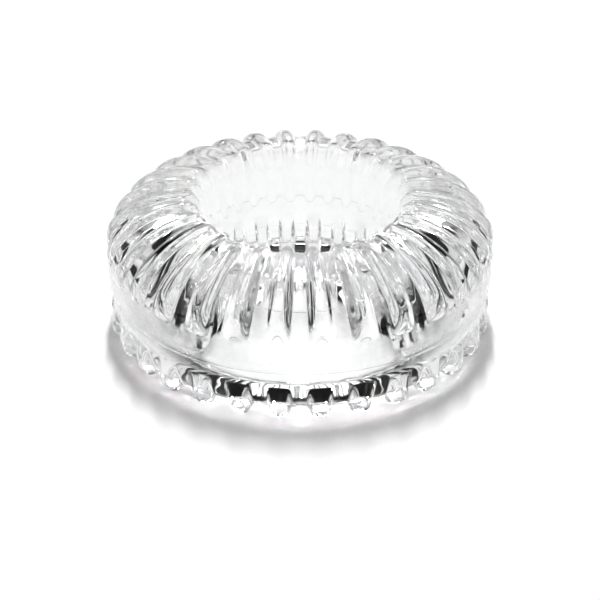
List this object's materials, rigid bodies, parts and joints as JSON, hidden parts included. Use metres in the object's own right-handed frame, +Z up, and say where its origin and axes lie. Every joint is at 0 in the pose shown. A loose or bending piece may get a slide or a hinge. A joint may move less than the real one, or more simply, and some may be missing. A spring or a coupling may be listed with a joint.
{
  "type": "ribbed glass ring",
  "caption": "Thick round ring of clear ribbed glass with a wide open hole; lies flat on a table on its lower ribs and holds something in the hole.",
  "frame": {"origin": "centre of the ring's footprint, on the surface that its lower ribs stand on", "axes": "+Z up, along the ring's axis; a rib points along +X, and a valley between two ribs along -Y, the front"},
  "size_m": [0.1608, 0.1602, 0.0595],
  "materials": {
    "clear_glass": "fire-polished clear, colourless",
    "clear_bond": "clear, cured between the two halves"
  },
  "bodies": {
    "root": {"upper_glass_half": "clear_glass", "lower_glass_half": "clear_glass", "bond_film": "clear_bond"}
  },
  "joints": []
}
